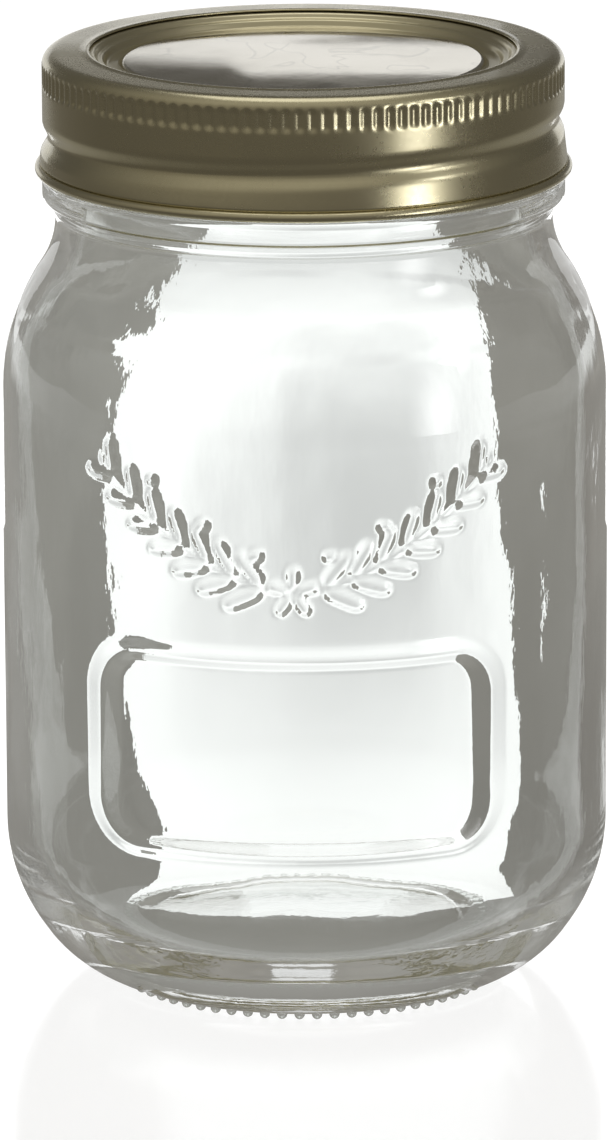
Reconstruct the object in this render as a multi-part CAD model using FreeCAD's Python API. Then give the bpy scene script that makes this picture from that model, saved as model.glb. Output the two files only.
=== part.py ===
import FreeCAD, Part
import math
import os

from FreeCAD import Vector

# A round glass storage jar closed by a two-part metal lid: a flat disc that lies on the rim and a
# screw band that holds it down. Millimetres. The axis is Z, the bumps under the foot touch z = 0
# and the label outline faces -Y.

# glass jar: body
body_r = 43.0  # outer radius of the straight wall
wall = 2.8  # glass thickness of the straight wall
shoulder_z = 86.0  # height where the straight wall turns into the shoulder
shoulder_arc = 30.4  # outer radius of the shoulder's convex arc
neck_arc = 14.0  # outer radius of the concave arc from the shoulder into the neck
neck_r = 35.1  # outer radius of the neck and of the finish above it
neck_wall = 3.9  # glass thickness of the neck and the finish

# glass jar: heel and base
heel_top_z = 23.0  # height where the heel turns into the straight wall
heel_arc = 25.0  # radius of the heel's upper arc
heel_seam_z = 8.3  # height of the crease where the base mould met the body mould
heel_bulge = 1.1  # how far the lower heel bows out of a straight cone
foot_r = 27.15  # radius of the middle of the standing ring
foot_w = 2.6  # width of the standing ring
bump_h = 1.0  # how far the bumps stand below the ring
bump_w = 1.4  # width of one bump where it meets the ring
bump_in = 0.15  # from the edge of the ring to the bumps
bump_count = 70
push_up = 3.0  # rise of the hollow under the base
base_wall = 4.7  # glass thickness in the middle of the base
floor_drop = 2.5  # how far the inside floor falls from the middle to the heel

# glass jar: neck and finish
seam_ring_h = 0.15  # fine raised mould line round the neck
seam_ring_w = 0.6
neck_h = 1.8  # straight stretch between the shoulder and the bead
bead_out = 1.8  # how far the bead under the band stands out
bead_w = 3.35
bead_round = 0.85  # rounding of the bead's outer edge
bead_under_deg = 38  # slope of the bead's underside from upright
rim_round = 1.2  # rounding of the rim's two edges
thread_crest = 0.8  # how far the glass thread stands out of the finish
thread_round = 1.2  # radius of the thread's round section

# glass jar: raised outline of the label panel
label_w = 58.0  # along the wall, between the middles of the side ridges
label_h = 28.2  # between the middles of the top and bottom ridges
label_z = 42.4  # height of the panel's middle
label_corner = 6.5
ridge_w = 4.2
ridge_h = 0.65
ridge_root = 0.8  # depth of the ridge's root in the wall
ridge_round = 0.6  # rounding of the ridge's two edges

# screw band
band_h = 17.45
band_sheet = 0.5
band_round = 1.8  # outer radius of the edge between wall and top
lip_w = 6.75  # width of the flat top ring, from the wall to the hole
curl_round = 0.7  # section radius of the rolled lower edge
curl_out = 1.1  # how far the rolled edge stands out of the wall
groove_depth = 0.85
groove_round = 3.2  # section radius of the rolled thread groove
groove_shift = 0.25  # how far the groove's middle lies above the middle of the band's bare wall
groove_start = -150  # turn about the axis in degrees, from the front towards the right
groove_end = 250
groove_fade = 50
thread_pitch = 5.08
thread_lift = 3.4  # height of the glass thread above the groove it hooks over
thread_start = -60
thread_end = 200
thread_fade = 25
flute_count = 128
flute_round = 0.6
flute_depth = 0.25
flute_h = 3.3
flute_drop = 1.8  # from the top of the band to the top of the flutes

# lid disc
disc_sheet = 0.45
disc_step_w = 0.5  # run of each of the two step walls
disc_step_h = 0.95
ledge_w = 0.7  # flat ledge between the two steps
channel_h = 1.35  # fall of the second step, down to the channel
channel_w = 2.2
panel_rise = 0.3  # the middle of the disc stands this far above its channel

# clearances
thread_gap = 0.35  # between the glass finish and the band, at the groove and at the thread
bead_gap = 0.4  # between the bead and the band's lower edge
disc_gap = 0.2  # between the disc's edge and the start of the band's rounded edge
mouth_gap = 1.35  # between the disc's step and the mouth

# radii of the band, from the neck it turns on
band_r = neck_r + thread_gap + groove_depth + band_sheet
hole_r = band_r - lip_w
mouth_r = neck_r - neck_wall
groove_run_r = band_r - groove_depth + groove_round

# height of the groove on the left side, so that its middle lies between the curl and the flutes
groove_turn = (groove_start + groove_end) / 2 + 90
groove_mid = (band_h + 2 * curl_round - flute_drop - flute_h) / 2 + groove_shift
groove_rise = groove_mid - thread_pitch * groove_turn / 360

# the standing ring, with the bumps near its outer edge
ring_z = bump_h
bump_r = foot_r + foot_w / 2 - bump_in - bump_w / 2

# heights from the shoulder upwards
neck_rise = math.sqrt(
    (shoulder_arc + neck_arc) ** 2 - (neck_r + neck_arc - body_r + shoulder_arc) ** 2
)
neck_z = shoulder_z + neck_rise
bead_z = neck_z + neck_h
bead_top_z = bead_z + bead_w
band_z = bead_top_z + bead_gap
top_z = band_z + band_h
disc_top_z = top_z - band_sheet
rim_z = disc_top_z - disc_sheet


def at(r, z):
    """A point of an outline, at radius r and height z."""
    return Vector(r, 0, z)


def line(a, b):
    return Part.LineSegment(a, b).toShape()


def arc(a, middle, b):
    return Part.Arc(a, middle, b).toShape()


def round_arc(r, z, radius, start_deg, end_deg):
    """An arc about (r, z), from one angle to the other."""
    turn = [math.radians(start_deg + share * (end_deg - start_deg)) for share in (0, 0.5, 1)]
    return arc(*[at(r + radius * math.cos(a), z + radius * math.sin(a)) for a in turn])


def bowed(a, b, bulge):
    """An arc from a to b that stands bulge to the right of the way from a to b."""
    along = b.sub(a)
    side = Vector(along.z, 0, -along.x).normalize()
    return arc(a, a.add(b).multiply(0.5).add(side.multiply(bulge)), b)


def turned(edges):
    """The solid that a closed outline, or one closed by the axis, makes when it turns about Z."""
    edges = Part.__sortEdges__(edges)
    ends = [edges[0].firstVertex(True).Point, edges[-1].lastVertex(True).Point]
    if ends[0].distanceToPoint(ends[1]) > 1e-6:
        edges = edges + [line(ends[1], ends[0])]
    return Part.Face(Part.Wire(edges)).revolve(Vector(0, 0, 0), Vector(0, 0, 1), 360)


def shoulder(side_r, from_z, convex, concave, end_r):
    """The S-shaped run from a wall of radius side_r to a neck of radius end_r."""
    low_r = side_r - convex
    high_r = end_r + concave
    rise = math.sqrt((convex + concave) ** 2 - (high_r - low_r) ** 2)
    lean = math.degrees(math.atan2(rise, high_r - low_r))
    return [
        round_arc(low_r, from_z, convex, 0, lean),
        round_arc(high_r, from_z + rise, concave, 180 + lean, 180),
    ], from_z + rise


def tube(points, radius):
    """A round bar along a smooth curve through the points."""
    curve = Part.BSplineCurve()
    curve.interpolate(points)
    start, direction = curve.value(curve.FirstParameter), curve.tangent(curve.FirstParameter)[0]
    section = Part.Wire(Part.Circle(start, direction, radius).toShape())
    return Part.Wire(curve.toShape()).makePipeShell([section], True, True)


def helix(start_deg, end_deg, z, radius, lift, fade_deg):
    """Points of a helix about Z that has height z on the left side and rises towards the right.

    Over fade_deg at each end it moves away from the axis by lift.
    """
    steps = round((end_deg - start_deg) / 10)
    points = []
    for i in range(steps + 1):
        turn = start_deg + (end_deg - start_deg) * i / steps
        near_end = min(turn - start_deg, end_deg - turn)
        fade = max(0.0, 1 - near_end / fade_deg)
        r = radius + lift * fade * fade * (3 - 2 * fade)
        a = math.radians(turn)
        points.append(Vector(r * math.sin(a), -r * math.cos(a), z + thread_pitch * (turn + 90) / 360))
    return points


def bead():
    """The ring under the band: a sloping underside, a round edge and a flat top."""
    edge_r = neck_r + bead_out - bead_round
    edge_z = bead_top_z - bead_round
    edge = round_arc(edge_r, edge_z, bead_round, -bead_under_deg, 90)
    return [
        line(at(neck_r, bead_z), edge.firstVertex().Point),
        edge,
        line(at(edge_r, bead_top_z), at(neck_r, bead_top_z)),
    ]


def glass_outside():
    seam_r = body_r - heel_arc + math.sqrt(heel_arc**2 - (heel_top_z - heel_seam_z) ** 2)
    seam = at(seam_r, heel_seam_z)
    seam_deg = math.degrees(math.asin((heel_top_z - heel_seam_z) / heel_arc))
    foot_in = at(foot_r - foot_w / 2, ring_z)
    foot_out = at(foot_r + foot_w / 2, ring_z)
    run, _ = shoulder(body_r, shoulder_z, shoulder_arc, neck_arc, neck_r)
    ring_low = at(neck_r, neck_z)
    ring_high = at(neck_r, neck_z + seam_ring_w)
    return [
        bowed(at(0, ring_z + push_up), foot_in, -push_up / 4),
        line(foot_in, foot_out),
        bowed(foot_out, seam, heel_bulge),
        round_arc(body_r - heel_arc, heel_top_z, heel_arc, -seam_deg, 0),
        line(at(body_r, heel_top_z), at(body_r, shoulder_z)),
        *run,
        bowed(ring_low, ring_high, seam_ring_h),
        line(ring_high, at(neck_r, bead_z)),
        *bead(),
        line(at(neck_r, bead_top_z), at(neck_r, rim_z - rim_round)),
        round_arc(neck_r - rim_round, rim_z - rim_round, rim_round, 0, 90),
        line(at(neck_r - rim_round, rim_z), at(mouth_r + rim_round, rim_z)),
    ]


def hollow():
    """The space inside the glass, from the middle of its floor to the open mouth."""
    inner_r = body_r - wall
    floor_z = ring_z + push_up + base_wall
    corner_z = floor_z - floor_drop
    corner = heel_top_z - corner_z
    run, turn_z = shoulder(inner_r, shoulder_z, shoulder_arc - wall, neck_arc + wall, mouth_r)
    lip = at(mouth_r + rim_round, rim_z)
    return turned(
        [
            bowed(at(0, floor_z), at(inner_r - corner, corner_z), -floor_drop / 4),
            round_arc(inner_r - corner, heel_top_z, corner, -90, 0),
            line(at(inner_r, heel_top_z), at(inner_r, shoulder_z)),
            *run,
            line(at(mouth_r, turn_z), at(mouth_r, rim_z - rim_round)),
            round_arc(mouth_r + rim_round, rim_z - rim_round, rim_round, 180, 90),
            line(lip, at(0, rim_z)),
        ]
    )


def label_block(margin):
    """A rounded block through the front wall, margin larger than the label's mid-line each way."""
    half_w = body_r * math.sin((label_w / 2 + margin) / body_r)
    half_h = label_h / 2 + margin
    block = Part.makeBox(2 * half_w, 2 * body_r, 2 * half_h, Vector(-half_w, -2 * body_r, label_z - half_h))
    corners = [edge for edge in block.Edges if abs(edge.tangentAt(0).y) > 0.99]
    return block.makeFillet(label_corner + margin, corners)


def far_out(vertex):
    """Whether the point lies on the crest of the label's ridge."""
    return math.hypot(vertex.X, vertex.Y) > body_r + ridge_h / 2


def label_ridge():
    """The raised outline of the label panel, with its root inside the wall."""
    shell = Part.makeCylinder(body_r + ridge_h, top_z).cut(Part.makeCylinder(body_r - ridge_root, top_z))
    ridge = shell.common(label_block(ridge_w / 2).cut(label_block(-ridge_w / 2)))
    crest = [edge for edge in ridge.Edges if all(far_out(vertex) for vertex in edge.Vertexes)]
    return ridge.makeFillet(ridge_round, crest)


def foot_bumps():
    """Round drops under the standing ring, near its outer edge, each touching z = 0."""
    radius = (bump_h**2 + (bump_w / 2) ** 2) / (2 * bump_h)
    bumps = []
    for i in range(bump_count):
        a = 2 * math.pi * i / bump_count
        centre = Vector(bump_r * math.sin(a), -bump_r * math.cos(a), radius)
        bumps.append(Part.makeSphere(radius, centre))
    return bumps


def groove_tube(inset):
    """The round bar that presses the thread groove into the band, inset deeper than its outside."""
    z = band_z + groove_rise
    points = helix(groove_start, groove_end, z, groove_run_r, groove_depth + 2 * band_sheet, groove_fade)
    return tube(points, groove_round + inset)


def glass_thread():
    z = band_z + groove_rise + thread_lift
    crest_r = neck_r + thread_crest
    points = helix(thread_start, thread_end, z, crest_r - thread_round, -thread_crest, thread_fade)
    return tube(points, thread_round)


def glass_jar():
    body = turned(glass_outside() + [line(at(mouth_r + rim_round, rim_z), at(0, rim_z))])
    body = body.fuse([label_ridge(), glass_thread()] + foot_bumps())
    return body.cut(hollow())


def band_form(inset):
    """The band as a full body, inset from its outer surface on every side but the open one."""
    r = band_r - inset
    high = top_z - inset
    low = band_z + curl_round - inset
    edge = band_round - inset
    outline = [
        line(at(0, low), at(r, low)),
        line(at(r, low), at(r, high - edge)),
        round_arc(r - edge, high - edge, edge, 0, 90),
        line(at(r - edge, high), at(0, high)),
    ]
    return turned(outline).cut(groove_tube(inset))


def flute_tools():
    """The round-ended bars that press the flutes into the band's upper edge, none across its seam."""
    r = band_r + flute_round - flute_depth
    high = top_z - flute_drop - flute_round
    low = high - flute_h + 2 * flute_round
    ends = [Vector(r, 0, low), Vector(r, 0, high)]
    tool = Part.makeCylinder(flute_round, high - low, ends[0])
    tool = tool.fuse([Part.makeSphere(flute_round, end) for end in ends])
    turns = [360 * (i + 0.5) / flute_count for i in range(flute_count)]
    return [tool.rotated(Vector(0, 0, 0), Vector(0, 0, 1), turn) for turn in turns]


def screw_band():
    curl_r = band_r + curl_out - curl_round
    curl = Part.makeTorus(curl_r, curl_round, Vector(0, 0, band_z + curl_round))
    band = band_form(0).cut([band_form(band_sheet), Part.makeCylinder(hole_r, top_z + 1)]).fuse(curl)
    return band.cut(flute_tools())


def sheet(points, thickness):
    """The closed outline of a bent sheet: its upper side, and the same run thickness below it."""
    under = []
    for i, point in enumerate(points):
        before = point.sub(points[i - 1]).normalize() if i else None
        after = points[i + 1].sub(point).normalize() if i + 1 < len(points) else None
        before, after = before or after, after or before
        low_before, low_after = [Vector(-d.z, 0, d.x) for d in (before, after)]
        mitre = low_before.add(low_after)
        mitre.multiply(thickness / (1 + low_before.dot(low_after)))
        under.append(point.add(mitre))
    run = points + under[::-1]
    return [line(a, b) for a, b in zip(run, run[1:])] + [line(run[-1], run[0])]


def lid_disc():
    step_r = mouth_r - mouth_gap - disc_sheet
    radii = [
        band_r - band_round - disc_gap,
        step_r,
        step_r - disc_step_w,
        step_r - disc_step_w - ledge_w,
        step_r - 2 * disc_step_w - ledge_w,
        step_r - 2 * disc_step_w - ledge_w - channel_w,
        step_r - 3 * disc_step_w - ledge_w - channel_w,
        0,
    ]
    falls = [0, disc_step_h, disc_step_h + channel_h, disc_step_h + channel_h - panel_rise]
    upper = [at(r, disc_top_z - falls[i // 2]) for i, r in enumerate(radii)]
    return turned(sheet(upper, disc_sheet))


os.makedirs("parts", exist_ok=True)
for name, shape in (("glass_jar", glass_jar()), ("screw_band", screw_band()), ("lid_disc", lid_disc())):
    solid = shape.removeSplitter().Solids[0]
    solid.exportStep(f"parts/{name}.step")
    print(name, "valid" if solid.isValid() else "NOT VALID", round(solid.Volume / 1000, 2), "cm3")
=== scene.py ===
import bpy
import bmesh
import math
from mathutils import Matrix, Vector, noise


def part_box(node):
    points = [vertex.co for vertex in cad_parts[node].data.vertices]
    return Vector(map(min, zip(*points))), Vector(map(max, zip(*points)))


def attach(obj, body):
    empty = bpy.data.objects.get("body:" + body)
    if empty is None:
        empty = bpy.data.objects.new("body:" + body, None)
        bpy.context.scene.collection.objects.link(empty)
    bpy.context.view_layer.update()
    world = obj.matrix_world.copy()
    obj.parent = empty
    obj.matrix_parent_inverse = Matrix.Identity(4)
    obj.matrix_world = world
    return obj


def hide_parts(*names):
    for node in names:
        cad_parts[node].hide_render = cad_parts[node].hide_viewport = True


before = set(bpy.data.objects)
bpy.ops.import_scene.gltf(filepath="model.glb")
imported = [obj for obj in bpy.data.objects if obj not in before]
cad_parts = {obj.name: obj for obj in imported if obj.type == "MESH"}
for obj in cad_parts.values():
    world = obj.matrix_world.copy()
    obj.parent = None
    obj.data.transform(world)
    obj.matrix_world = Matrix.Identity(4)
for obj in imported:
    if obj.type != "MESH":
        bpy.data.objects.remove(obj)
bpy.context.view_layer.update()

mm = 0.001
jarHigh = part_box("glass_jar")[1]
bandLow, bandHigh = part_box("screw_band")
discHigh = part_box("lid_disc")[1]
noiseSpan = (0.35, 0.65)  # where most of a noise texture's values lie
print("frame loaded")


def arcPoints(centre, radius, startDeg, endDeg, step):
    # points (r, z) along an arc, about one step apart, both ends included
    count = max(2, round(abs(math.radians(endDeg - startDeg)) * radius / step))
    angles = [math.radians(startDeg + (endDeg - startDeg) * i / count) for i in range(count + 1)]
    return [(centre[0] + radius * math.cos(a), centre[1] + radius * math.sin(a)) for a in angles]


def linePoints(start, end, step):
    count = max(1, round(math.dist(start, end) / step))
    return [(start[0] + (end[0] - start[0]) * i / count, start[1] + (end[1] - start[1]) * i / count)
            for i in range(count + 1)]


def bowedPoints(start, end, bulge, step):
    # an arc from start to end that stands bulge to the right of the way
    chord = math.dist(start, end)
    radius = (chord ** 2 / 4 + bulge ** 2) / (2 * abs(bulge))
    count = max(2, round(chord / step))
    along = ((end[0] - start[0]) / chord, (end[1] - start[1]) / chord)
    side = (along[1], -along[0])
    points = []
    for i in range(count + 1):
        t = chord * (i / count - 0.5)
        rise = math.sqrt(radius ** 2 - t ** 2) - radius + abs(bulge)
        rise = math.copysign(rise, bulge)
        points.append((start[0] + along[0] * (t + chord / 2) + side[0] * rise,
                       start[1] + along[1] * (t + chord / 2) + side[1] * rise))
    return points


def joined(*runs):
    # one outline from several runs, without the points where they meet twice
    points = []
    for run in runs:
        for point in run:
            if not points or math.dist(points[-1], point) > 1e-6:
                points.append(point)
    return points


def polar(r, turn, z):
    # turn is measured from the front (-Y) towards the right (+X)
    return Vector((r * math.sin(turn), -r * math.cos(turn), z))


def outlineVerts(bm, points, turn, closed):
    verts = [bm.verts.new(polar(max(r, 0), turn, z)) for r, z in points]
    edges = [bm.edges.new(pair) for pair in zip(verts, verts[1:])]
    if closed:
        edges.append(bm.edges.new((verts[-1], verts[0])))
    return verts + edges


def spunShell(points, sectors, closed=False):
    # sectors: (degrees, steps, doublings), the first one centred on the front; a slice is spun and doubled
    bm = bmesh.new()
    part = bpy.data.meshes.new("sector")
    start = -math.radians(sectors[0][0]) / 2
    for degrees, steps, doublings in sectors:
        sector = bmesh.new()
        geom = outlineVerts(sector, points, start, closed)
        angle = math.radians(degrees) / 2 ** doublings
        bmesh.ops.spin(sector, geom=geom, cent=(0, 0, 0), axis=(0, 0, 1), angle=angle,
                       steps=steps // 2 ** doublings, use_duplicate=False)
        for doubling in range(doublings):
            copied = bmesh.ops.duplicate(sector, geom=sector.verts[:] + sector.edges[:] + sector.faces[:])
            verts = [item for item in copied["geom"] if isinstance(item, bmesh.types.BMVert)]
            bmesh.ops.rotate(sector, verts=verts, cent=(0, 0, 0),
                             matrix=Matrix.Rotation(angle * 2 ** doubling, 3, "Z"))
        sector.to_mesh(part)
        sector.free()
        bm.from_mesh(part)
        start += math.radians(degrees)
    bpy.data.meshes.remove(part)
    bmesh.ops.remove_doubles(bm, verts=bm.verts, dist=1e-3)
    return bm


def pieceFrom(bm, name, material):
    # the outline is in millimetres, the finished piece in metres
    bmesh.ops.scale(bm, vec=(mm, mm, mm), verts=bm.verts)
    bmesh.ops.recalc_face_normals(bm, faces=bm.faces)
    for face in bm.faces:
        face.smooth = True
    mesh = bpy.data.meshes.new(name)
    bm.to_mesh(mesh)
    bm.free()
    piece = bpy.data.objects.new(name, mesh)
    bpy.context.scene.collection.objects.link(piece)
    mesh.materials.append(material)
    return piece


def smoothStep(low, high, value):
    share = min(1.0, max(0.0, (value - low) / (high - low)))
    return share * share * (3 - 2 * share)


def newMaterial(name):
    material = bpy.data.materials.new(name)
    material.use_nodes = True
    return material, material.node_tree.nodes, material.node_tree.links


def rippleGroup():
    # uneven height of a surface: broad waves and fine dimples
    group = bpy.data.node_groups.new("surfaceRipple", "ShaderNodeTree")
    face = group.interface
    for label in ("Wave Scale", "Fine Scale", "Fine Share", "Lengthwise"):
        face.new_socket(label, in_out="INPUT", socket_type="NodeSocketFloat")
    face.new_socket("Height", in_out="OUTPUT", socket_type="NodeSocketFloat")
    nodes, links = group.nodes, group.links
    inputs = nodes.new("NodeGroupInput")
    outputs = nodes.new("NodeGroupOutput")
    place = nodes.new("ShaderNodeTexCoord")
    wave = nodes.new("ShaderNodeTexNoise")
    wave.inputs["Detail"].default_value = 2.0
    fine = nodes.new("ShaderNodeTexNoise")
    fine.inputs["Detail"].default_value = 3.0
    mix = nodes.new("ShaderNodeMix")
    mix.data_type = "FLOAT"
    stretch = nodes.new("ShaderNodeCombineXYZ")
    stretch.inputs["X"].default_value = stretch.inputs["Y"].default_value = 1.0
    drawn = nodes.new("ShaderNodeVectorMath")
    drawn.operation = "MULTIPLY"
    links.new(inputs.outputs["Lengthwise"], stretch.inputs["Z"])
    links.new(place.outputs["Object"], drawn.inputs[0])
    links.new(stretch.outputs["Vector"], drawn.inputs[1])
    links.new(place.outputs["Object"], wave.inputs["Vector"])
    links.new(drawn.outputs["Vector"], fine.inputs["Vector"])
    links.new(inputs.outputs["Wave Scale"], wave.inputs["Scale"])
    links.new(inputs.outputs["Fine Scale"], fine.inputs["Scale"])
    links.new(inputs.outputs["Fine Share"], mix.inputs["Factor"])
    links.new(wave.outputs["Fac"], mix.inputs["A"])
    links.new(fine.outputs["Fac"], mix.inputs["B"])
    links.new(mix.outputs["Result"], outputs.inputs["Height"])
    return group


ripple = rippleGroup()


def rippleBump(nodes, links, shader, values):
    # the shared ripple as a bump on one material
    height = nodes.new("ShaderNodeGroup")
    height.node_tree = ripple
    height.inputs["Wave Scale"].default_value = values["waveScale"]
    height.inputs["Fine Scale"].default_value = values["fineScale"]
    height.inputs["Fine Share"].default_value = values["fineShare"]
    height.inputs["Lengthwise"].default_value = values["lengthwise"]
    bump = nodes.new("ShaderNodeBump")
    bump.inputs["Strength"].default_value = values["bumpStrength"]
    bump.inputs["Distance"].default_value = values["bumpDepth"] * mm
    links.new(height.outputs["Height"], bump.inputs["Height"])
    links.new(bump.outputs["Normal"], shader.inputs["Normal"])
    return height


glassFinish = {
    "tint": (0.965, 0.98, 0.97, 1),
    "ior": 1.52,
    "waveScale": 70.0,
    "fineScale": 420.0,
    "fineShare": 0.3,
    "lengthwise": 0.4,
    "bumpStrength": 1.0,
    "bumpDepth": 0.05,
}


def clearGlass():
    material, nodes, links = newMaterial("clearGlass")
    shader = nodes["Principled BSDF"]
    shader.inputs["Base Color"].default_value = glassFinish["tint"]
    shader.inputs["Roughness"].default_value = 0.0
    shader.inputs["Transmission Weight"].default_value = 1.0
    shader.inputs["IOR"].default_value = glassFinish["ior"]
    rippleBump(nodes, links, shader, glassFinish)
    return material


bandFinish = {
    "light": (0.70, 0.64, 0.43, 1),
    "dark": (0.59, 0.535, 0.345, 1),
    "roughLow": 0.22,
    "roughHigh": 0.31,
    "coat": 0.5,
    "coatRough": 0.07,
    "waveScale": 90.0,
    "fineScale": 1500.0,
    "fineShare": 0.35,
    "lengthwise": 1.0,
    "bumpStrength": 0.6,
    "bumpDepth": 0.012,
}
discFinish = {
    "light": (0.74, 0.70, 0.60, 1),
    "dark": (0.66, 0.62, 0.51, 1),
    "roughLow": 0.05,
    "roughHigh": 0.12,
    "coat": 0.2,
    "coatRough": 0.05,
    "waveScale": 55.0,
    "fineScale": 260.0,
    "fineShare": 0.25,
    "lengthwise": 1.0,
    "bumpStrength": 0.8,
    "bumpDepth": 0.03,
    # painted shade: thin dark lines in the panel's colour that stand for its wrinkles
    "wrinkleShadeScale": 70.0,
    "wrinkleShadeWidth": 0.014,
    "wrinkleShadeDark": 0.82,
    "rimR": (0.0252, 0.0258),  # outside it the disc has the band's colour
    "rimRough": 0.3,
}


def lacqueredMetal(name, finish):
    material, nodes, links = newMaterial(name)
    shader = nodes["Principled BSDF"]
    shader.inputs["Metallic"].default_value = 1.0
    shader.inputs["Coat Weight"].default_value = finish["coat"]
    shader.inputs["Coat Roughness"].default_value = finish["coatRough"]
    height = rippleBump(nodes, links, shader, finish)
    colour = nodes.new("ShaderNodeMix")
    colour.data_type = "RGBA"
    colour.inputs["A"].default_value = finish["light"]
    colour.inputs["B"].default_value = finish["dark"]
    rough = nodes.new("ShaderNodeMapRange")
    rough.inputs["From Min"].default_value, rough.inputs["From Max"].default_value = noiseSpan
    rough.inputs["To Min"].default_value = finish["roughLow"]
    rough.inputs["To Max"].default_value = finish["roughHigh"]
    links.new(height.outputs["Height"], colour.inputs["Factor"])
    links.new(height.outputs["Height"], rough.inputs["Value"])
    links.new(colour.outputs["Result"], shader.inputs["Base Color"])
    links.new(rough.outputs["Result"], shader.inputs["Roughness"])
    return material


def discMetal():
    # thin lines of painted shade stand for the panel's wrinkles; the steps round it are gold and less bright
    material = lacqueredMetal("brightLacquer", discFinish)
    nodes, links = material.node_tree.nodes, material.node_tree.links
    shader = nodes["Principled BSDF"]
    plainColour = shader.inputs["Base Color"].links[0].from_socket
    plainRough = shader.inputs["Roughness"].links[0].from_socket
    place = nodes.new("ShaderNodeTexCoord")
    wrinkleShadeNoise = nodes.new("ShaderNodeTexNoise")
    wrinkleShadeNoise.inputs["Scale"].default_value = discFinish["wrinkleShadeScale"]
    wrinkleShadeNoise.inputs["Detail"].default_value = 2.0
    wrinkleShadeNoise.inputs["Distortion"].default_value = 0.8
    away = nodes.new("ShaderNodeMath")
    away.operation = "PINGPONG"
    away.inputs[1].default_value = 0.5
    line = nodes.new("ShaderNodeMapRange")
    line.inputs["From Min"].default_value = 0.5 - discFinish["wrinkleShadeWidth"]
    line.inputs["From Max"].default_value = 0.5
    # painted shade: the base colour is darkened along the wrinkle lines
    dark = nodes.new("ShaderNodeMix")
    dark.data_type, dark.blend_type = "RGBA", "MULTIPLY"
    dark.inputs["B"].default_value = (discFinish["wrinkleShadeDark"],) * 3 + (1,)
    flat = nodes.new("ShaderNodeVectorMath")
    flat.operation = "MULTIPLY"
    flat.inputs[1].default_value = (1, 1, 0)
    radius = nodes.new("ShaderNodeVectorMath")
    radius.operation = "LENGTH"
    outer = nodes.new("ShaderNodeMapRange")
    outer.inputs["From Min"].default_value, outer.inputs["From Max"].default_value = discFinish["rimR"]
    colour = nodes.new("ShaderNodeMix")
    colour.data_type = "RGBA"
    colour.inputs["B"].default_value = bandFinish["light"]
    rough = nodes.new("ShaderNodeMix")
    rough.inputs["B"].default_value = discFinish["rimRough"]
    links.new(place.outputs["Object"], wrinkleShadeNoise.inputs["Vector"])
    links.new(wrinkleShadeNoise.outputs["Fac"], away.inputs[0])
    links.new(away.outputs["Value"], line.inputs["Value"])
    links.new(line.outputs["Result"], dark.inputs["Factor"])
    links.new(plainColour, dark.inputs["A"])
    links.new(place.outputs["Object"], flat.inputs[0])
    links.new(flat.outputs["Vector"], radius.inputs[0])
    links.new(radius.outputs["Value"], outer.inputs["Value"])
    links.new(outer.outputs["Result"], colour.inputs["Factor"])
    links.new(dark.outputs["Result"], colour.inputs["A"])
    links.new(outer.outputs["Result"], rough.inputs["Factor"])
    links.new(plainRough, rough.inputs["A"])
    links.new(colour.outputs["Result"], shader.inputs["Base Color"])
    links.new(rough.outputs["Result"], shader.inputs["Roughness"])
    return material


bodyR = jarHigh.x / mm
rimZ = jarHigh.z / mm
jarForm = {
    "wall": 2.8,
    "shoulderZ": 86.0,
    "shoulderArc": 30.4,
    "neckArc": 14.0,
    "neckR": 35.1,
    "neckWall": 3.9,
    "heelTopZ": 23.0,
    "heelArc": 25.0,
    "heelSeamZ": 8.3,
    "heelBulge": 1.1,
    "footR": 27.15,
    "footW": 2.6,
    "bumpH": 1.0,
    "bumpW": 1.4,
    "bumpIn": 0.15,
    "bumpCount": 70,
    "pushUp": 3.0,
    "baseWall": 4.7,
    "floorDrop": 2.5,
    "seamH": 0.15,
    "seamW": 0.6,
    "neckH": 1.8,
    "beadOut": 1.8,
    "beadW": 3.35,
    "beadRound": 0.85,
    "beadUnderDeg": 75,
    "rimRound": 1.2,
    "frontDeg": 104,  # the finely meshed part with the raised outline
    "frontSteps": 176,
    "backSteps": 88,
    "fineStep": 0.48,  # height of a row in the finely meshed part
}
labelForm = {
    "width": 58.0,  # between the middles of the side ridges, along the wall
    "height": 28.2,
    "z": 42.4,
    "corner": 6.5,
    "sideFlank": 3.2,  # width of each slope of the side ridges
    "endFlank": 1.9,  # and of the ridges above and below
    "ridgeH": 0.62,
}
garlandForm = {
    "z": 66.0,  # height of the flower in the middle
    "rise": 17.0,  # of the branch's tip above it
    "reach": 29.0,  # from the middle to the tip, along the wall
    "leaves": 7,
    "leafL": 7.0,
    "leafW": 2.9,
    "spread": 38,  # degrees between a leaf and its stem
    "leafH": 0.42,
    "stemW": 0.9,
    "bend": 1.7,  # how much steeper a branch gets towards its tip
    "largest": 1.05,  # share of the leaf's size at the middle
    "shrink": 0.35,  # of it lost towards the tip
    "berryR": 1.15,
    "berryIn": 2.6,  # from the leaves' root towards the middle
    "berryUp": 3.4,
    "petals": 5,
    "petalAt": 2.1,  # from the flower's middle
    "petalHalfL": 1.9,
    "petalHalfW": 1.15,
}
innerWave = {
    "depth": 0.22,
    "scale": 0.045,
    "streakDepth": 0.16,
    "streakScale": 0.10,
    "streakStretch": 0.12,
    "fineDepth": 0.03,
    "fineScale": 0.2,
    "fromR": 27,
    "lowZ": (12, 22),  # the waves begin between these heights
    "highZ": (100, 112),  # and end between these
}


def shoulderRun(sideR, fromZ, convex, concave, endR, step):
    lowR, highR = sideR - convex, endR + concave
    rise = math.sqrt((convex + concave) ** 2 - (highR - lowR) ** 2)
    lean = math.degrees(math.atan2(rise, highR - lowR))
    run = joined(arcPoints((lowR, fromZ), convex, 0, lean, step),
                 arcPoints((highR, fromZ + rise), concave, 180 + lean, 180, step))
    return run, fromZ + rise


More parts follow.
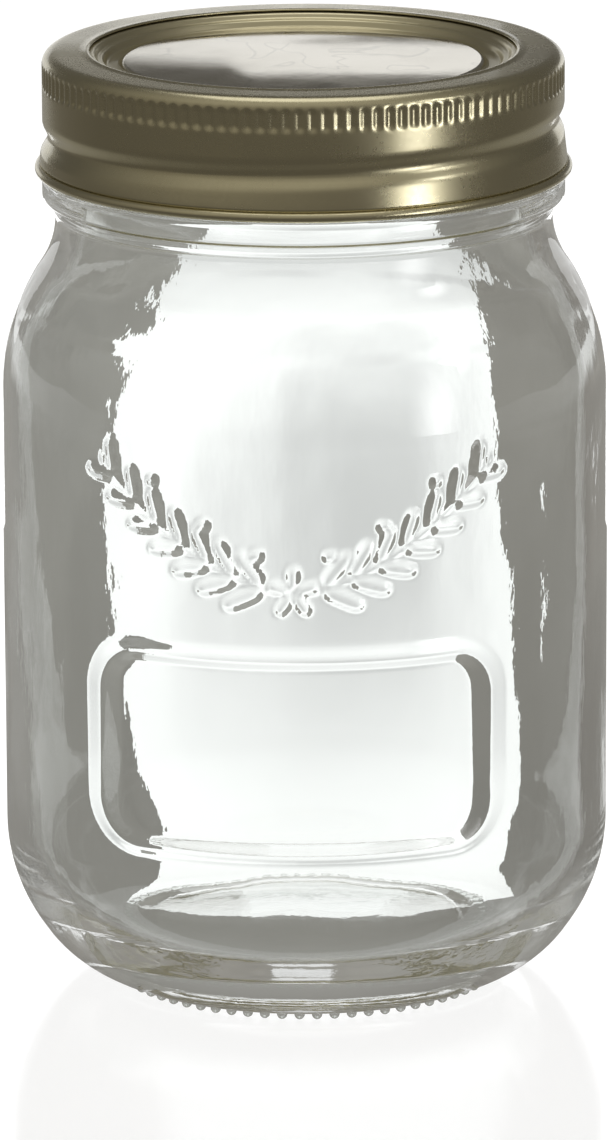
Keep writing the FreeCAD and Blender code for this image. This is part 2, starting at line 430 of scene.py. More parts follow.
def jarOutside():
    f = jarForm
    seamTurn = math.degrees(math.asin((f["heelTopZ"] - f["heelSeamZ"]) / f["heelArc"]))
    seamR = bodyR - f["heelArc"] + f["heelArc"] * math.cos(math.radians(seamTurn))
    footIn = (f["footR"] - f["footW"] / 2, f["bumpH"])
    footOut = (f["footR"] + f["footW"] / 2, f["bumpH"])
    shoulder, neckZ = shoulderRun(bodyR, f["shoulderZ"], f["shoulderArc"], f["neckArc"], f["neckR"], 0.8)
    beadZ = neckZ + f["neckH"]
    beadTopZ = beadZ + f["beadW"]
    edgeR = f["neckR"] + f["beadOut"] - f["beadRound"]
    beadEdge = (arcPoints((edgeR, beadZ + f["beadRound"]), f["beadRound"], -f["beadUnderDeg"], 0, 0.2)
                + arcPoints((edgeR, beadTopZ - f["beadRound"]), f["beadRound"], 0, 90, 0.2))
    return joined(
        bowedPoints((0, f["bumpH"] + f["pushUp"]), footIn, -f["pushUp"] / 4, 2.6),
        linePoints(footIn, footOut, 0.6),
        bowedPoints(footOut, (seamR, f["heelSeamZ"]), f["heelBulge"], 1.0),
        arcPoints((bodyR - f["heelArc"], f["heelTopZ"]), f["heelArc"], -seamTurn, 0, 1.0),
        linePoints((bodyR, f["heelTopZ"]), (bodyR, f["shoulderZ"]), f["fineStep"]),
        shoulder,
        bowedPoints((f["neckR"], neckZ), (f["neckR"], neckZ + f["seamW"]), f["seamH"], 0.15),
        linePoints((f["neckR"], neckZ + f["seamW"]), (f["neckR"], beadZ), 0.4),
        linePoints((f["neckR"], beadZ), beadEdge[0], 0.4),
        beadEdge,
        linePoints(beadEdge[-1], (f["neckR"], beadTopZ), 0.3),
        linePoints((f["neckR"], beadTopZ), (f["neckR"], rimZ - f["rimRound"]), 0.7),
        arcPoints((f["neckR"] - f["rimRound"], rimZ - f["rimRound"]), f["rimRound"], 0, 90, 0.3),
    )


def jarInside():
    # from the rim down to the middle of the floor
    f = jarForm
    innerR = bodyR - f["wall"]
    mouthR = f["neckR"] - f["neckWall"]
    floorZ = f["bumpH"] + f["pushUp"] + f["baseWall"]
    cornerZ = floorZ - f["floorDrop"]
    corner = f["heelTopZ"] - cornerZ
    shoulder, turnZ = shoulderRun(innerR, f["shoulderZ"], f["shoulderArc"] - f["wall"],
                                  f["neckArc"] + f["wall"], mouthR, 1.0)
    return joined(
        arcPoints((mouthR + f["rimRound"], rimZ - f["rimRound"]), f["rimRound"], 90, 180, 0.3),
        linePoints((mouthR, rimZ - f["rimRound"]), (mouthR, turnZ), 2.0),
        shoulder[::-1],
        linePoints((innerR, f["shoulderZ"]), (innerR, f["heelTopZ"]), 2.0),
        arcPoints((innerR - corner, f["heelTopZ"]), corner, 0, -90, 1.2),
        bowedPoints((innerR - corner, cornerZ), (0, floorZ), f["floorDrop"] / 4, 2.6),
    )


def ramp(share):
    # from 0 to 1 with a straight middle and short soft ends
    soft = 0.18
    share = min(1.0, max(0.0, share))
    if share < soft:
        return share * share / (2 * soft * (1 - soft))
    if share > 1 - soft:
        return 1 - (1 - share) ** 2 / (2 * soft * (1 - soft))
    return (share - soft / 2) / (1 - soft)


def labelRelief(u, z):
    # u runs along the wall from the middle of the front
    f = labelForm
    x = abs(u) - f["width"] / 2 + f["corner"]
    y = abs(z - f["z"]) - f["height"] / 2 + f["corner"]
    away = abs(math.hypot(max(x, 0), max(y, 0)) + min(max(x, y), 0) - f["corner"])
    sideways = math.cos(math.atan2(max(y, 0), max(x, 0.001))) if x > 0 or y > 0 else float(x > y)
    flank = f["endFlank"] + (f["sideFlank"] - f["endFlank"]) * sideways ** 2
    return f["ridgeH"] * ramp(1 - away / flank)


def garlandMotifs():
    # (u, z, half length, half width, lean, height) of each petal, leaf and berry
    f = garlandForm
    motifs = []
    for i in range(f["petals"]):
        lean = math.radians(90 + 360 * i / f["petals"])
        motifs.append((f["petalAt"] * math.cos(lean), f["z"] + f["petalAt"] * math.sin(lean),
                       f["petalHalfL"], f["petalHalfW"], lean, f["leafH"]))
    for side in (-1, 1):
        for i in range(f["leaves"]):
            share = (i + 1) / (f["leaves"] + 0.6)
            u, z = side * f["reach"] * share, f["z"] + f["rise"] * share ** f["bend"]
            slope = math.atan2(f["rise"] * f["bend"] * share ** (f["bend"] - 1), side * f["reach"])
            size = f["largest"] - f["shrink"] * share
            for turn in (-1, 1):
                lean = slope + turn * math.radians(f["spread"])
                half = f["leafL"] / 2 * size
                motifs.append((u + half * math.cos(lean), z + half * math.sin(lean), half,
                               f["leafW"] / 2 * size, lean, f["leafH"]))
            if i % 2:
                berry = f["berryR"] * size
                motifs.append((u - side * f["berryIn"], z + f["berryUp"], berry, berry, 0, f["leafH"]))
    return motifs


motifs = garlandMotifs()


def garlandRelief(u, z):
    f = garlandForm
    if not f["z"] - 5 < z < f["z"] + f["rise"] + 7:
        return 0.0
    height = 0.0
    for mu, mz, half, wide, lean, high in motifs:
        du, dz = u - mu, z - mz
        if abs(du) > half or abs(dz) > half:
            continue
        along = (du * math.cos(lean) + dz * math.sin(lean)) / half
        across = (dz * math.cos(lean) - du * math.sin(lean)) / wide
        away = math.hypot(across, along * along)
        if away < 1:
            height = max(height, high * ramp(1.6 * (1 - away)))
    share = abs(u) / f["reach"]
    if share < 1:
        stem = abs(z - f["z"] - f["rise"] * share ** f["bend"]) * math.cos(math.atan(share)) / f["stemW"]
        height = max(height, 0.6 * f["leafH"] * ramp(1 - stem))
    return height


def makeJar(material):
    outside, inside = jarOutside(), jarInside()
    bm = spunShell(joined(outside, inside), [(jarForm["frontDeg"], jarForm["frontSteps"], 4),
                                             (360 - jarForm["frontDeg"], jarForm["backSteps"], 3)])
    innerR = bodyR - jarForm["wall"]
    w = innerWave
    for vert in bm.verts:
        r = math.hypot(vert.co.x, vert.co.y)
        z = vert.co.z
        turn = math.atan2(vert.co.x, -vert.co.y)
        if abs(r - bodyR) < 0.01 and abs(turn) < math.radians(jarForm["frontDeg"] / 2):
            move = max(labelRelief(turn * bodyR, z), garlandRelief(turn * bodyR, z))
        elif w["fromR"] < r < innerR + 0.3 and w["lowZ"][0] < z < w["highZ"][1]:
            fade = smoothStep(*w["lowZ"], z) * (1 - smoothStep(*w["highZ"], z))
            streak = Vector((vert.co.x, vert.co.y, w["streakStretch"] * z)) * w["streakScale"]
            move = fade * (w["depth"] * noise.noise(vert.co * w["scale"])
                           + w["streakDepth"] * noise.noise(streak)
                           + w["fineDepth"] * noise.noise(vert.co * w["fineScale"]))
        else:
            continue
        vert.co += polar(move, turn, 0)
    jar = pieceFrom(bm, "glassJar", material)
    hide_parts("glass_jar")
    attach(jar, "root")
    return jar


def makeFootBumps(material):
    f = jarForm
    gap = 0.01  # under the standing ring
    radius = (f["bumpH"] ** 2 + (f["bumpW"] / 2) ** 2) / (2 * f["bumpH"])
    bumpR = f["footR"] + f["footW"] / 2 - f["bumpIn"] - f["bumpW"] / 2
    bm = bmesh.new()
    for i in range(f["bumpCount"]):
        turn = 2 * math.pi * i / f["bumpCount"]
        place = Matrix.Translation(polar(bumpR, turn, radius)) @ Matrix.Rotation(turn, 4, "Z")
        bmesh.ops.create_uvsphere(bm, u_segments=12, v_segments=12, radius=radius, matrix=place)
    cut = bmesh.ops.bisect_plane(bm, geom=bm.verts[:] + bm.edges[:] + bm.faces[:], dist=1e-5,
                                 plane_co=(0, 0, f["bumpH"] - gap), plane_no=(0, 0, 1), clear_outer=True)
    rims = [item for item in cut["geom_cut"] if isinstance(item, bmesh.types.BMEdge)]
    bmesh.ops.holes_fill(bm, edges=rims, sides=0)
    bumps = pieceFrom(bm, "footBumps", material)
    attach(bumps, "root")
    return bumps


bandForm = {
    "r": 36.8,
    "holeR": 30.05,
    "sheet": 0.35,
    "round": 1.8,
    "lipW": 0.75,  # of the low bead round the hole
    "lipH": 0.12,
    "fall": 0.22,  # of the ring from the bead to the rounded corner
    "curlRound": 0.7,
    "curlOut": 1.1,
    "grooveDepth": 0.8,
    "grooveHalf": 2.3,
    "grooveRise": 5.15,  # above the lower edge, on the left side
    "pitch": 5.08,
    "grooveStart": -150,
    "grooveEnd": 250,
    "grooveFade": 50,
    "fluteCount": 128,
    "fluteSteps": 6,
    "fluteDepth": 0.28,
    "fluteTop": 1.9,  # below the top of the band
    "fluteEnd": 5.1,
    "flare": 0.45,  # of the wall below the groove
    "flareH": 5.5,
}


def grooveDepthAt(turnDeg, z, baseZ):
    # how far the rolled thread pushes the wall in; the helix passes a place once or twice
    f = bandForm
    depth = 0.0
    for lap in (0, 360):
        turn = turnDeg + lap
        if not f["grooveStart"] <= turn <= f["grooveEnd"]:
            continue
        middle = baseZ + f["grooveRise"] + f["pitch"] * (turn + 90) / 360
        ends = min(turn - f["grooveStart"], f["grooveEnd"] - turn)
        away = abs(z - middle) / f["grooveHalf"]
        if away < 1:
            rolled = 0.5 * (1 + math.cos(math.pi * away))
            depth += smoothStep(0, f["grooveFade"], ends) * rolled * f["grooveDepth"]
    return depth


def fluteDepthAt(step, z, topZ):
    f = bandForm
    across = 0.5 - 0.5 * math.cos(2 * math.pi * step / f["fluteSteps"])
    high, low = topZ - f["fluteTop"], topZ - f["fluteEnd"]
    along = smoothStep(low, low + 0.7, z) * (1 - smoothStep(high - 0.5, high + 0.5, z))
    return f["fluteDepth"] * across ** 1.5 * along


def makeBand(material):
    f = bandForm
    topZ, baseZ = bandHigh.z / mm, bandLow.z / mm
    curlR, curlZ = f["r"] + f["curlOut"] - f["curlRound"], baseZ + f["curlRound"]
    innerR, innerTop, cornerR = f["r"] - f["sheet"], topZ - f["sheet"], f["r"] - f["round"]
    edge = f["sheet"] / 2
    outside = joined(
        arcPoints((f["holeR"] + edge, topZ - edge), edge, 270, 180, 0.09),
        bowedPoints((f["holeR"], topZ - edge), (f["holeR"] + f["lipW"], topZ - f["lipH"]), -f["lipH"], 0.13),
        linePoints((f["holeR"] + f["lipW"], topZ - f["lipH"]), (cornerR, topZ - f["fall"]), 0.9),
        arcPoints((cornerR, topZ - f["fall"] - f["round"]), f["round"], 90, 0, 0.28),
        linePoints((f["r"], topZ - f["fall"] - f["round"]), (f["r"], topZ - f["fluteEnd"] - 0.4), 0.3),
        linePoints((f["r"], topZ - f["fluteEnd"] - 0.4), (f["r"], curlZ + f["curlRound"] * 0.9), 0.5),
        arcPoints((curlR, curlZ), f["curlRound"], 100, -170, 0.22),
    )
    inside = joined(
        linePoints((innerR, curlZ), (innerR, topZ - f["fall"] - f["round"]), 0.9),
        arcPoints((cornerR, topZ - f["fall"] - f["round"]), f["round"] - f["sheet"], 0, 90, 0.5),
        linePoints((cornerR, innerTop - f["fall"]), (f["holeR"] + edge, innerTop), 1.6),
    )
    steps = f["fluteCount"] * f["fluteSteps"]
    bm = spunShell(joined(outside, inside)[:-1], [(360, steps, 6)], closed=True)
    for vert in bm.verts:
        r = math.hypot(vert.co.x, vert.co.y)
        z = vert.co.z
        if r < f["r"] - f["sheet"] - 0.05 or r > f["r"] + 0.05 or z < curlZ:
            continue
        turn = math.atan2(vert.co.x, -vert.co.y)
        move = grooveDepthAt(math.degrees(turn), z, baseZ)
        if r > f["r"] - 0.25:
            move += fluteDepthAt(round(turn / (2 * math.pi) * steps) % f["fluteSteps"], z, topZ)
        move -= f["flare"] * (1 - smoothStep(0, f["flareH"], z - curlZ))
        vert.co -= polar(move, turn, 0)
    band = pieceFrom(bm, "screwBand", material)
    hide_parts("screw_band")
    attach(band, "root")
    return band


discForm = {
    "sheet": 0.4,
    "stepR": 29.4,
    "stepRun": 0.45,
    "stepDrop": 0.75,
    "ledge": 0.75,
    "channelDrop": 1.0,
    "channel": 1.9,
    "panelRise": 0.6,
}


def softCorners(points, radius, step):
    # every inner point of a polyline becomes a small arc
    soft = [points[0]]
    for before, point, after in zip(points, points[1:], points[2:]):
        reach = min(radius, math.dist(before, point) / 2.2, math.dist(point, after) / 2.2)
        start = [point[k] + (before[k] - point[k]) * reach / math.dist(before, point) for k in (0, 1)]
        end = [point[k] + (after[k] - point[k]) * reach / math.dist(point, after) for k in (0, 1)]
        count = max(2, round(2 * reach / step))
        for i in range(count + 1):
            t = i / count
            soft.append(tuple((1 - t) ** 2 * start[k] + 2 * t * (1 - t) * point[k] + t * t * end[k]
                              for k in (0, 1)))
    return soft + [points[-1]]


def makeDisc(material):
    f = discForm
    top = discHigh.z / mm
    outerR = discHigh.x / mm
    a = f["stepR"]
    b = a - f["stepRun"]
    c = b - f["ledge"]
    d = c - f["stepRun"]
    e = d - f["channel"]
    g = e - f["stepRun"]
    ledgeZ = top - f["stepDrop"]
    channelZ = ledgeZ - f["channelDrop"]
    panelZ = channelZ + f["panelRise"]
    upper = softCorners([(outerR, top), (a, top), (b, ledgeZ), (c, ledgeZ), (d, channelZ),
                         (e, channelZ), (g, panelZ), (0, panelZ)], 0.35, 0.12)
    lower = [(r, z - f["sheet"]) for r, z in upper[::-1]]
    bm = spunShell(joined(upper, lower) + [upper[0]], [(360, 240, 4)])
    disc = pieceFrom(bm, "lidDisc", material)
    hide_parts("lid_disc")
    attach(disc, "root")
    return disc


view = {
    "distance": 1.1882,
    "height": 0.3587,
    "pitch": 14.18,
    "roll": -0.26,
    "turn": 2.3,  # round the jar, so that the label's middle sits a little to the left
    "aside": -0.00006,
    "lens": 271.1,
    "sensor": 36,
    "clip": (0.05, 20),
}
room = {
    "back": (0.11, 0.105, 0.095, 1),
    "frontLeft": (0.245, 0.23, 0.20, 1),
    "frontRight": (0.15, 0.14, 0.125, 1),
    "above": (0.50, 0.48, 0.43, 1),  # in front
    "white": (1, 1, 1, 1),
    "throughLeft": (0.335, 0.325, 0.30, 1),
    "throughRight": (0.285, 0.27, 0.245, 1),
    "throughPale": (0.80, 0.80, 0.78, 1),  # in front of the jar and far to its sides
    "backSpan": (-0.6, 0.5),  # directions from the camera's side to the far side
    "sideSpan": (-0.5, 0.5),  # from left to right
    "aboveSpan": (0.2, 0.95),
    "paleSpan": (-0.1, -0.5),
    "floorFar": (0.15, 0.14, 0.125, 1),
    "floorHalf": 1.6,
    "floorZ": -0.00002,  # just under the jar
    "floorShade": 0.2,
    "floorGloss": 0.17,
    "floorRough": 0.12,
    "floorGlow": (0.80, 1.0),  # where the floor mirrors the object, and elsewhere
    "floorGrey": (0.76, 0.97),  # near the object, and far behind it
    "unevenLow": 0.88,
    "unevenHigh": 1.12,
    "unevenScale": (8.0, 3.0, 3.0),
}
floorSpans = {  # in metres on the floor, whose Y runs away from the camera
    "lighter": {"centre": (0, 0.45, 0), "size": (0.8, 1, 1), "low": 0.40, "high": 0.60},  # behind the jar
    "mirroring": {"centre": (0, -0.05, 0), "size": (1, 1, 1), "low": 0.07, "high": 0.11},
    "across": (-0.1, 0.1),
    "aside": (0.30, 0.46),
    "inFront": (0.0, -0.14),
    "behind": (0.05, 0.45),
}
aim = Vector((0, 0, 0.1))  # what the lamp and the screens face
facing = Matrix.Rotation(math.radians(view["turn"]), 4, "Z")  # the studio is set up square to the camera


def throughGlass(nodes, links, place, left, pale, dim):
    # where a ray has passed glass, uneven grey that is lighter on the left; else the dim colour
    path = nodes.new("ShaderNodeLightPath")
    wide = nodes.new("ShaderNodeVectorMath")
    wide.operation = "MULTIPLY"
    wide.inputs[1].default_value = room["unevenScale"]
    patches = nodes.new("ShaderNodeTexNoise")
    patches.inputs["Scale"].default_value = 1.0
    uneven = nodes.new("ShaderNodeMapRange")
    uneven.inputs["From Min"].default_value, uneven.inputs["From Max"].default_value = noiseSpan
    uneven.inputs["To Min"].default_value = room["unevenLow"]
    uneven.inputs["To Max"].default_value = room["unevenHigh"]
    shaded = nodes.new("ShaderNodeVectorMath")
    shaded.operation = "SCALE"
    passed = nodes.new("ShaderNodeMath")
    passed.operation = "GREATER_THAN"
    passed.inputs[1].default_value = 0.5
    grey = nodes.new("ShaderNodeMix")
    grey.data_type = "RGBA"
    grey.inputs["A"].default_value = room["throughLeft"]
    grey.inputs["B"].default_value = room["throughRight"]
    lit = nodes.new("ShaderNodeMix")
    lit.data_type = "RGBA"
    lit.inputs["B"].default_value = room["throughPale"]
    mix = nodes.new("ShaderNodeMix")
    mix.data_type = "RGBA"
    links.new(path.outputs["Transmission Depth"], passed.inputs[0])
    links.new(passed.outputs["Value"], mix.inputs["Factor"])
    links.new(left, grey.inputs["Factor"])
    links.new(dim, mix.inputs["A"])
    links.new(place, wide.inputs[0])
    links.new(wide.outputs["Vector"], patches.inputs["Vector"])
    links.new(patches.outputs["Fac"], uneven.inputs["Value"])
    links.new(grey.outputs["Result"], shaded.inputs["Vector"])
    links.new(uneven.outputs["Result"], shaded.inputs["Scale"])
    links.new(shaded.outputs["Vector"], lit.inputs["A"])
    links.new(pale, lit.inputs["Factor"])
    links.new(lit.outputs["Result"], mix.inputs["B"])
    return mix.outputs["Result"]


def axisRamp(nodes, links, source, axis, low, high):
    # 0 to 1 along one axis
    split = nodes.new("ShaderNodeSeparateXYZ")
    share = nodes.new("ShaderNodeMapRange")
    share.inputs["From Min"].default_value = low
    share.inputs["From Max"].default_value = high
    links.new(source, split.inputs["Vector"])
    links.new(split.outputs[axis], share.inputs["Value"])
    return share.outputs["Result"]


def between(nodes, links, share, ends):
    # from the first to the second value
    value = nodes.new("ShaderNodeMapRange")
    value.inputs["To Min"].default_value, value.inputs["To Max"].default_value = ends
    links.new(share, value.inputs["Value"])
    return value.outputs["Result"]


def makeWorld():
    # white behind the object for the camera, a dim room for reflections, grey through the glass
    world = bpy.data.worlds.new("room")
    bpy.context.scene.world = world
    world.use_nodes = True
    nodes, links = world.node_tree.nodes, world.node_tree.links
    nodes.clear()
    out = nodes.new("ShaderNodeOutputWorld")
    light = nodes.new("ShaderNodeBackground")
    path = nodes.new("ShaderNodeLightPath")
    place = nodes.new("ShaderNodeTexCoord")
    shade = nodes.new("ShaderNodeMix")
    shade.data_type = "RGBA"
    front = nodes.new("ShaderNodeMix")
    front.data_type = "RGBA"
    front.inputs["A"].default_value = room["frontLeft"]
    front.inputs["B"].default_value = room["frontRight"]
    shade.inputs["B"].default_value = room["back"]
    seen = nodes.new("ShaderNodeMix")
    seen.data_type = "RGBA"
    seen.inputs["B"].default_value = room["white"]
    around = place.outputs["Generated"]
    links.new(axisRamp(nodes, links, around, "Y", *room["backSpan"]), shade.inputs["Factor"])
    links.new(axisRamp(nodes, links, around, "X", *room["sideSpan"]), front.inputs["Factor"])
    above = nodes.new("ShaderNodeMix")
    above.data_type = "RGBA"
    above.inputs["B"].default_value = room["above"]
    links.new(axisRamp(nodes, links, around, "Z", *room["aboveSpan"]), above.inputs["Factor"])
    links.new(front.outputs["Result"], above.inputs["A"])
    links.new(above.outputs["Result"], shade.inputs["A"])
    left = axisRamp(nodes, links, around, "X", *room["sideSpan"])
    pale = axisRamp(nodes, links, around, "Y", *room["paleSpan"])
    dim = throughGlass(nodes, links, around, left, pale, shade.outputs["Result"])
    links.new(path.outputs["Is Camera Ray"], seen.inputs["Factor"])
    links.new(dim, seen.inputs["A"])
    links.new(seen.outputs["Result"], light.inputs["Color"])
    links.new(light.outputs["Background"], out.inputs["Surface"])


def flatPiece(name, corners, material):
    bm = bmesh.new()
    bm.faces.new([bm.verts.new(facing @ Vector(corner)) for corner in corners])
    mesh = bpy.data.meshes.new(name)
    bm.to_mesh(mesh)
    bm.free()
    piece = bpy.data.objects.new(name, mesh)
    bpy.context.scene.collection.objects.link(piece)
    mesh.materials.append(material)
    return piece


def glowing(name, colour, strength):
    material, nodes, links = newMaterial(name)
    nodes.clear()
    out = nodes.new("ShaderNodeOutputMaterial")
    glow = nodes.new("ShaderNodeEmission")
    glow.inputs["Color"].default_value = colour
    glow.inputs["Strength"].default_value = strength
    links.new(glow.outputs["Emission"], out.inputs["Surface"])
    return material, nodes, links, glow


def spotShare(nodes, links, centre, size, low, high):
    # 0 to 1 between two distances from a point, on flat pieces
    place = nodes.new("ShaderNodeTexCoord")
    fitted = nodes.new("ShaderNodeMapping")
    fitted.vector_type = "TEXTURE"
    fitted.inputs["Location"].default_value = centre
    fitted.inputs["Scale"].default_value = size
    away = nodes.new("ShaderNodeVectorMath")
    away.operation = "LENGTH"
    share = nodes.new("ShaderNodeMapRange")
    share.interpolation_type = "SMOOTHSTEP"
    share.inputs["From Min"].default_value = low
    share.inputs["From Max"].default_value = high
    links.new(place.outputs["Object"], fitted.inputs["Vector"])
    links.new(fitted.outputs["Vector"], away.inputs[0])
    links.new(away.outputs["Value"], share.inputs["Value"])
    return share.outputs["Result"]


def makeFloor():
    # white to the camera, with a shadow and a faint reflection; grey to the glass and the metal
    f = floorSpans
    material, nodes, links, grey = glowing("paleFloor", room["floorFar"], 1.0)
    spread = nodes.new("ShaderNodeMix")
    spread.data_type = "RGBA"
    spread.inputs["A"].default_value = room["throughLeft"]
    spread.inputs["B"].default_value = room["floorFar"]
    links.new(spotShare(nodes, links, **f["lighter"]), spread.inputs["Factor"])
    place = nodes.new("ShaderNodeTexCoord")
    here = place.outputs["Object"]
    across = axisRamp(nodes, links, here, "X", *f["across"])
    aside = nodes.new("ShaderNodeVectorMath")
    aside.operation = "ABSOLUTE"
    links.new(here, aside.inputs[0])
    pale = nodes.new("ShaderNodeMath")
    pale.operation = "MAXIMUM"
    links.new(axisRamp(nodes, links, aside.outputs["Vector"], "X", *f["aside"]), pale.inputs[0])
    links.new(axisRamp(nodes, links, here, "Y", *f["inFront"]), pale.inputs[1])
    through = throughGlass(nodes, links, here, across, pale.outputs["Value"], spread.outputs["Result"])
    links.new(through, grey.inputs["Color"])
    behind = axisRamp(nodes, links, here, "Y", *f["behind"])
    links.new(between(nodes, links, behind, room["floorGrey"]), grey.inputs["Strength"])
    glow = nodes.new("ShaderNodeEmission")
    mirroring = spotShare(nodes, links, **f["mirroring"])
    links.new(between(nodes, links, mirroring, room["floorGlow"]), glow.inputs["Strength"])
    matt = nodes.new("ShaderNodeBsdfDiffuse")
    matt.inputs["Color"].default_value = (room["floorShade"],) * 3 + (1,)
    gloss = nodes.new("ShaderNodeBsdfGlossy")
    gloss.inputs["Color"].default_value = (room["floorGloss"],) * 3 + (1,)
    gloss.inputs["Roughness"].default_value = room["floorRough"]
    first, second = nodes.new("ShaderNodeAddShader"), nodes.new("ShaderNodeAddShader")
    path = nodes.new("ShaderNodeLightPath")
    mix = nodes.new("ShaderNodeMixShader")
    links.new(glow.outputs["Emission"], first.inputs[0])
    links.new(matt.outputs["BSDF"], first.inputs[1])
    links.new(first.outputs["Shader"], second.inputs[0])
    links.new(gloss.outputs["BSDF"], second.inputs[1])
    links.new(path.outputs["Is Camera Ray"], mix.inputs["Fac"])
    links.new(grey.outputs["Emission"], mix.inputs[1])
    links.new(second.outputs["Shader"], mix.inputs[2])
    links.new(mix.outputs["Shader"], nodes["Material Output"].inputs["Surface"])
    h, z = room["floorHalf"], room["floorZ"]
    flatPiece("floor", [(-h, -h, z), (h, -h, z), (h, h, z), (-h, h, z)], material)


def hideCard(card, glossy, transmission):
    card.visible_camera = False
    card.visible_diffuse = False
    card.visible_shadow = False
    card.visible_glossy = glossy
    card.visible_transmission = transmission


paper = {
    "strength": 1.24,
    "rightEdge": [(-28, 8), (34, 6), (30, 30), (34, 56), (46, 96), (54, 200), (58, 360)],
    "farEdge": [(62, 480), (-42, 480)],  # where it rises
    "leftEdge": [(-49, 435), (-57, 385), (-43, 215), (-38, 157), (-31, 96), (-22, 56), (-23, 30)],
    "lift": 0.2,  # above the floor
    "backHeight": 0.25,
    "greySpot": (0.0, 0.265, 0),
    "greySize": (0.05, 0.28, 1),
    "greyStrength": 0.70,
    "upStrength": (1.24, 0.8),  # at its foot and from fadeZ on
    "fadeZ": 0.07,
}
mirrored = {  # white upright cards that only glossy surfaces show: outlines (x, z) at a distance y behind
    "lid": {"y": 0.40, "strength": 0.95,
            "outline": [(-0.04, 0.192), (0.04, 0.192), (0.04, 0.226), (-0.012, 0.226), (-0.017, 0.214),
                        (-0.04, 0.2065)]},
    "shoulder": {"y": 0.60, "strength": 0.9,
                 "outline": [(-0.40, 0.03), (0.40, 0.03), (0.40, 0.17), (0.06, 0.19), (0.0, 0.22),
                             (-0.05, 0.243), (-0.40, 0.243)]},
    "floor": {"y": 0.12, "strength": 1.65,
              "outline": [(-0.075, 0.035), (0.075, 0.035), (0.075, 0.085), (-0.075, 0.085)]},
}


def makePaper():
    # white paper that lies behind the jar and rises at its far end, seen only through the glass
    f = paper
    material, nodes, links, glow = glowing("whitePaper", room["white"], f["strength"])
    middle = spotShare(nodes, links, f["greySpot"], f["greySize"], 0.0, 1.0)
    links.new(between(nodes, links, middle, (f["greyStrength"], f["strength"])), glow.inputs["Strength"])
    outline = f["rightEdge"] + f["farEdge"] + f["leftEdge"]
    flat = [(x * mm, y * mm, f["lift"] * mm) for x, y in outline]
    low = [(x * mm, y * mm, f["lift"] * mm) for x, y in f["farEdge"]]
    high = [(x, y, f["backHeight"]) for x, y, _ in low]
    hideCard(flatPiece("paperFlat", flat, material), False, True)
    upright, nodes, links, glow = glowing("uprightPaper", room["white"], 1.0)
    place = nodes.new("ShaderNodeTexCoord")
    rising = axisRamp(nodes, links, place.outputs["Object"], "Z", 0.0, f["fadeZ"])
    links.new(between(nodes, links, rising, f["upStrength"]), glow.inputs["Strength"])
    hideCard(flatPiece("paperUp", low + high[::-1], upright), False, True)


def makeMirrored():
    for name, card in mirrored.items():
        material = glowing(name + "White", room["white"], card["strength"])[0]
        corners = [(x, card["y"], z) for x, z in card["outline"]]
        hideCard(flatPiece(name + "Card", corners, material), True, False)


topLamp = {"azimuth": 180, "distance": 0.2, "height": 1.2, "size": (0.8, 0.8), "power": 2.0}


def makeTopLamp():
    # azimuth from the camera towards the right
    f = topLamp
    place = facing @ polar(f["distance"], math.radians(f["azimuth"]), f["height"])
    lamp = bpy.data.lights.new("topSoftbox", "AREA")
    lamp.shape = "RECTANGLE"
    lamp.size, lamp.size_y = f["size"]
    lamp.energy = f["power"]
    holder = bpy.data.objects.new("topSoftbox", lamp)
    bpy.context.scene.collection.objects.link(holder)
    holder.location = place
    holder.rotation_euler = (aim - place).to_track_quat("-Z", "Y").to_euler()
    holder.visible_transmission = False


softboxes = {
    "tall": {"azimuth": 49, "distance": 0.62, "z": 0.09, "halfWidth": 0.14, "halfHeight": 0.32,
             "strength": 4.9},
    "round": {"azimuth": 61, "distance": 0.62, "z": 0.375, "halfWidth": 0.12, "halfHeight": 0.13,
              "strength": 6.0},
}


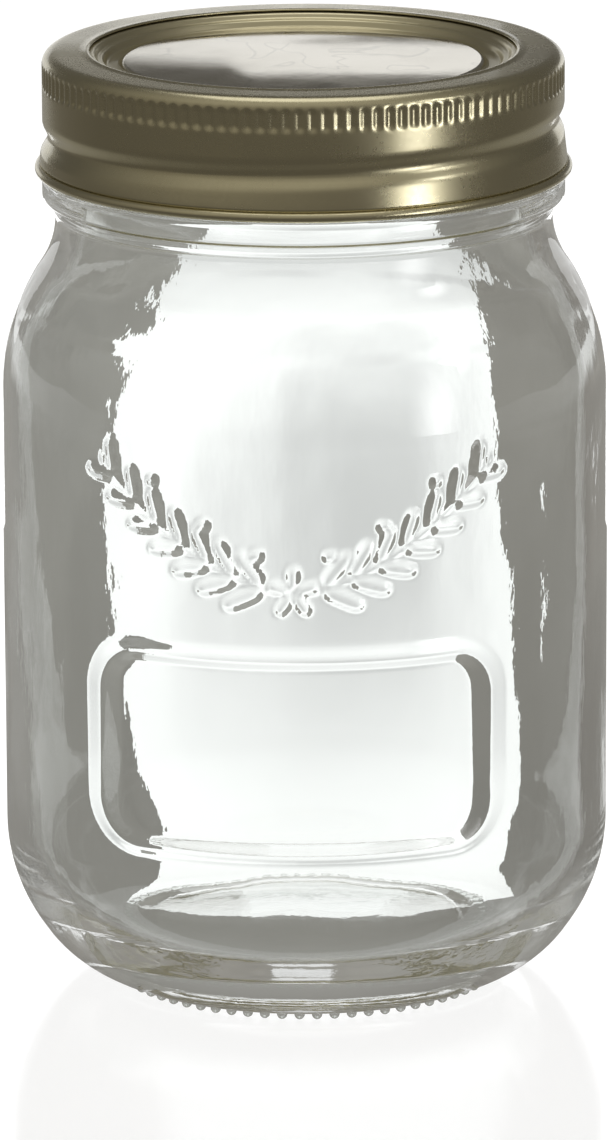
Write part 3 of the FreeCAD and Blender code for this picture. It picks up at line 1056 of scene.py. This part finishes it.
def makeSoftbox(name, f):
    # a bright screen that fades towards its edges, seen only in glossy surfaces
    turn = math.radians(f["azimuth"])
    middle = Vector((f["distance"] * math.sin(turn), -f["distance"] * math.cos(turn), f["z"]))
    aside = Vector((math.cos(turn), math.sin(turn), 0)) * f["halfWidth"]
    up = aside.cross(middle - aim).normalized() * f["halfHeight"]
    material, nodes, links, glow = glowing(name + "White", room["white"], f["strength"])
    place = nodes.new("ShaderNodeTexCoord")
    fitted = nodes.new("ShaderNodeMapping")
    fitted.vector_type = "TEXTURE"
    fitted.inputs["Location"].default_value = facing @ middle
    square = Matrix((aside.normalized(), up.normalized(), aside.cross(up).normalized())).transposed()
    fitted.inputs["Rotation"].default_value = (facing.to_3x3() @ square).to_euler()
    fitted.inputs["Scale"].default_value = (f["halfWidth"], f["halfHeight"], 1)
    away = nodes.new("ShaderNodeVectorMath")
    away.operation = "LENGTH"
    share = nodes.new("ShaderNodeMapRange")
    share.interpolation_type = "SMOOTHSTEP"
    share.inputs["To Min"].default_value = f["strength"]
    share.inputs["To Max"].default_value = 0.0
    links.new(place.outputs["Object"], fitted.inputs["Vector"])
    links.new(fitted.outputs["Vector"], away.inputs[0])
    links.new(away.outputs["Value"], share.inputs["Value"])
    links.new(share.outputs["Result"], glow.inputs["Strength"])
    corners = [middle + x * aside + y * up for x, y in ((-1, -1), (1, -1), (1, 1), (-1, 1))]
    hideCard(flatPiece(name + "Softbox", corners, material), True, False)


def makeLights():
    makeTopLamp()
    for name, screen in softboxes.items():
        makeSoftbox(name, screen)


def makeCamera():
    data = bpy.data.cameras.new("camera")
    data.lens = view["lens"]
    data.sensor_width = view["sensor"]
    data.clip_start, data.clip_end = view["clip"]
    camera = bpy.data.objects.new("camera", data)
    bpy.context.scene.collection.objects.link(camera)
    local = Matrix.Translation((view["aside"], -view["distance"], view["height"]))
    local @= Matrix.Rotation(math.radians(90 - view["pitch"]), 4, "X")
    local @= Matrix.Rotation(math.radians(view["roll"]), 4, "Z")
    camera.matrix_world = facing @ local
    bpy.context.scene.camera = camera


glass = clearGlass()
jar = makeJar(glass)
bumps = makeFootBumps(glass)
print("glass jar made")
band = makeBand(lacqueredMetal("goldLacquer", bandFinish))
disc = makeDisc(discMetal())
print("lid made")
for piece in (jar, bumps, band, disc):
    print(piece.name, sum(len(p.vertices) - 2 for p in piece.data.polygons), "triangles")

jar.visible_shadow = False
bumps.visible_shadow = False
makeWorld()
makeFloor()
makePaper()
makeMirrored()
makeLights()
makeCamera()
bpy.context.scene.view_settings.view_transform = "Standard"
bounces = bpy.context.scene.cycles  # light turns many times inside thick glass
bounces.max_bounces = bounces.transmission_bounces = bounces.glossy_bounces = 128
print("studio made")
